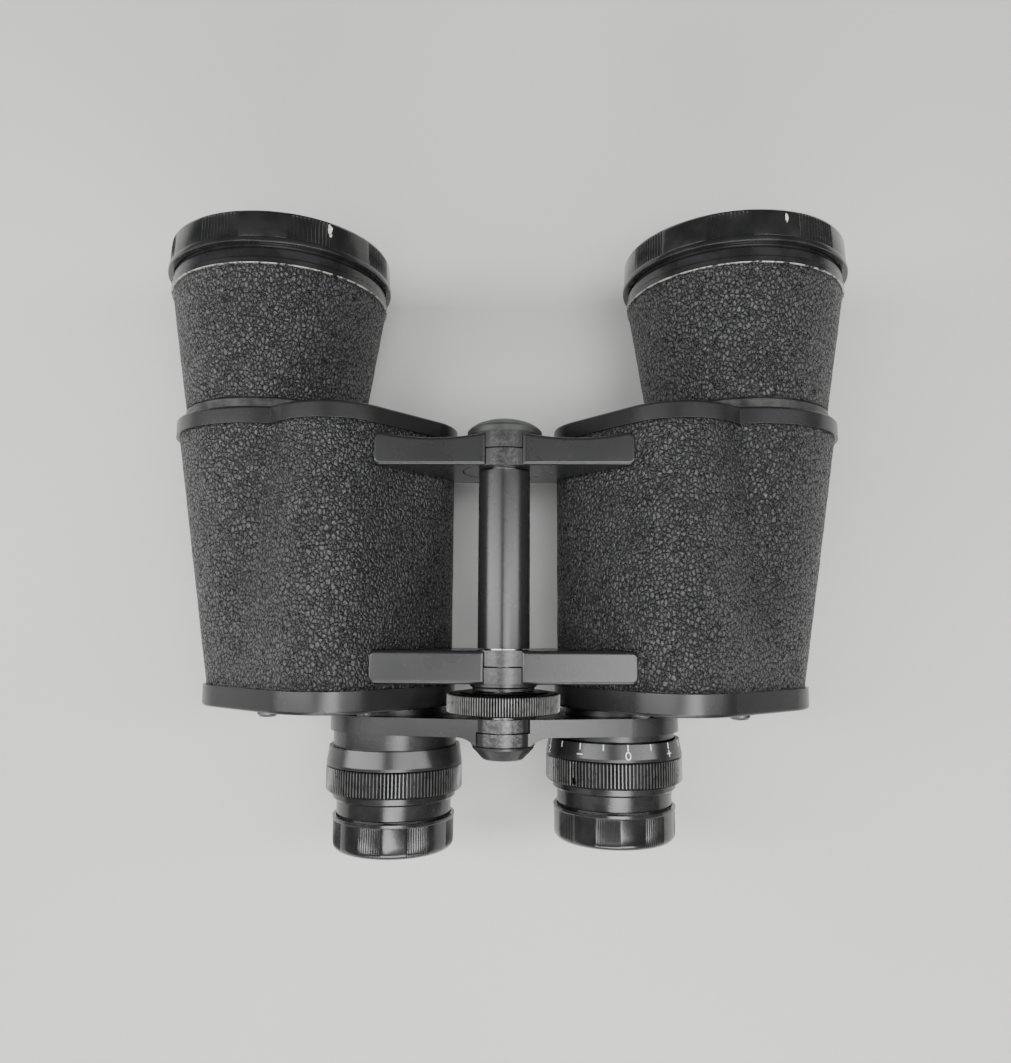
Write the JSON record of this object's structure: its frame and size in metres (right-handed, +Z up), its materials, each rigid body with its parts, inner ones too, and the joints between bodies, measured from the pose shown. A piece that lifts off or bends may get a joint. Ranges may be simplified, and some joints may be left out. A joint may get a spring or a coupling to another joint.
{
  "type": "binoculars",
  "caption": "Porro prism binoculars with leather-wrapped housings, centre hinge, ribbed focus wheel, dioptre ring and push-on lens caps.",
  "frame": {"origin": "centre of the footprint, on the plane the binoculars lie on", "axes": "+X to the user's right, +Y from the eyes to the objectives, +Z up"},
  "size_m": [0.1946, 0.166, 0.0645],
  "materials": {
    "pebbled_leather": "pebble grained leather cloth, black",
    "satin_black_paint": "satin black enamel on cast alloy",
    "gloss_black_enamel": "semi gloss black enamel",
    "bare_alloy": "turned alloy, bare where the ring shows",
    "anodised_alloy": "black anodised",
    "blackened_steel": "blackened screw steel",
    "steel": "turned steel",
    "spring_brass": "bare brass",
    "worn_grey_paint": "dull grey paint, rubbed",
    "optical_glass": "polished and coated",
    "hard_plastic": "glossy black moulded eyecup",
    "cap_plastic": "moulded black plastic, bands of fine ribs"
  },
  "bodies": {
    "left_half": {"left_housing": "satin_black_paint", "left_housing_leather": "pebbled_leather", "left_front_cover": "satin_black_paint", "left_rear_cover": "satin_black_paint", "left_cover_screws": "blackened_steel", "left_front_prism": "optical_glass", "left_rear_prism": "optical_glass", "left_prism_clips": "spring_brass", "left_objective_barrel": "bare_alloy", "left_barrel_leather": "pebbled_leather", "left_front_ring": "gloss_black_enamel", "left_objective_cell": "anodised_alloy", "left_objective_crown_lens": "optical_glass", "left_objective_flint_lens": "optical_glass", "left_eyepiece_bush": "spring_brass", "hinge_pin": "steel", "hinge_shaft_tube": "satin_black_paint", "hinge_front_cap": "worn_grey_paint", "wheel_collar": "satin_black_paint"},
    "right_half": {"right_housing": "satin_black_paint", "right_housing_leather": "pebbled_leather", "right_front_cover": "satin_black_paint", "right_rear_cover": "satin_black_paint", "right_cover_screws": "blackened_steel", "right_front_prism": "optical_glass", "right_rear_prism": "optical_glass", "right_prism_clips": "spring_brass", "right_objective_barrel": "bare_alloy", "right_barrel_leather": "pebbled_leather", "right_front_ring": "gloss_black_enamel", "right_objective_cell": "anodised_alloy", "right_objective_crown_lens": "optical_glass", "right_objective_flint_lens": "optical_glass", "right_eyepiece_bush": "spring_brass"},
    "focus_wheel": {"focus_wheel": "satin_black_paint"},
    "left_ocular": {"left_bridge_arm": "satin_black_paint", "focus_spindle": "steel", "bridge_end_cap": "satin_black_paint", "left_eyepiece_tube": "anodised_alloy", "left_eyepiece_spacer": "satin_black_paint", "left_eyepiece_cone_ring": "satin_black_paint", "left_eyepiece_knurled_ring": "satin_black_paint", "left_eyecup": "hard_plastic", "left_field_lens": "optical_glass", "left_eye_lens": "optical_glass"},
    "right_ocular": {"right_bridge_arm": "satin_black_paint", "right_eyepiece_tube": "anodised_alloy", "right_eyepiece_spacer": "satin_black_paint"},
    "dioptre_carrier": {"right_dioptre_tube": "anodised_alloy", "right_field_lens": "optical_glass", "right_eye_lens": "optical_glass"},
    "dioptre_ring": {"right_dioptre_scale_ring": "satin_black_paint", "right_eyepiece_knurled_ring": "satin_black_paint", "right_dioptre_grub_screw": "blackened_steel", "right_eyecup": "hard_plastic"},
    "left_objective_cap": {"left_objective_cap": "cap_plastic"},
    "right_objective_cap": {"right_objective_cap": "cap_plastic"},
    "left_eyepiece_cap": {"left_eyepiece_cap": "cap_plastic"},
    "right_eyepiece_cap": {"right_eyepiece_cap": "cap_plastic"}
  },
  "joints": [
    {"name": "interpupillary_hinge", "type": "hinge", "parent": "left_half", "child": "right_half", "pos_m": [0, 0, 0.048], "axis": [0, -1, 0], "range_deg": [-12, 34]},
    {"name": "focus_wheel_turn", "type": "hinge", "parent": "left_half", "child": "focus_wheel", "pos_m": [0, -0.043, 0.048], "axis": [0, 1, 0], "range_deg": [-25, 400]},
    {"name": "left_focus_slide", "type": "slide", "parent": "left_half", "child": "left_ocular", "axis": [0, -1, 0], "range_m": [-0.0005, 0.00799]},
    {"name": "right_focus_slide", "type": "slide", "parent": "right_half", "child": "right_ocular", "axis": [0, -1, 0], "range_m": [-0.0005, 0.008]},
    {"name": "dioptre_slide", "type": "slide", "parent": "right_ocular", "child": "dioptre_carrier", "axis": [0, -1, 0], "range_m": [-0.00124, 0.00124]},
    {"name": "dioptre_turn", "type": "hinge", "parent": "dioptre_carrier", "child": "dioptre_ring", "pos_m": [0.02994, -0.06, 0.0315], "axis": [0, -1, 0], "range_deg": [-75, 75]},
    {"name": "left_objective_cap_pull", "type": "slide", "parent": "left_half", "child": "left_objective_cap", "axis": [0, 1, 0], "range_m": [0, 0.03]},
    {"name": "right_objective_cap_pull", "type": "slide", "parent": "right_half", "child": "right_objective_cap", "axis": [0, 1, 0], "range_m": [0, 0.03]},
    {"name": "left_eyepiece_cap_pull", "type": "slide", "parent": "left_ocular", "child": "left_eyepiece_cap", "axis": [0, -1, 0], "range_m": [0, 0.025]},
    {"name": "right_eyepiece_cap_pull", "type": "slide", "parent": "dioptre_ring", "child": "right_eyepiece_cap", "axis": [0, -1, 0], "range_m": [0, 0.025]}
  ],
  "couplings": [
    {"joint": "focus_wheel_turn", "follows": "left_focus_slide", "rad_per_m": 873.36},
    {"joint": "right_focus_slide", "follows": "left_focus_slide", "ratio": 1},
    {"joint": "dioptre_turn", "follows": "dioptre_slide", "rad_per_m": 1052.6}
  ]
}
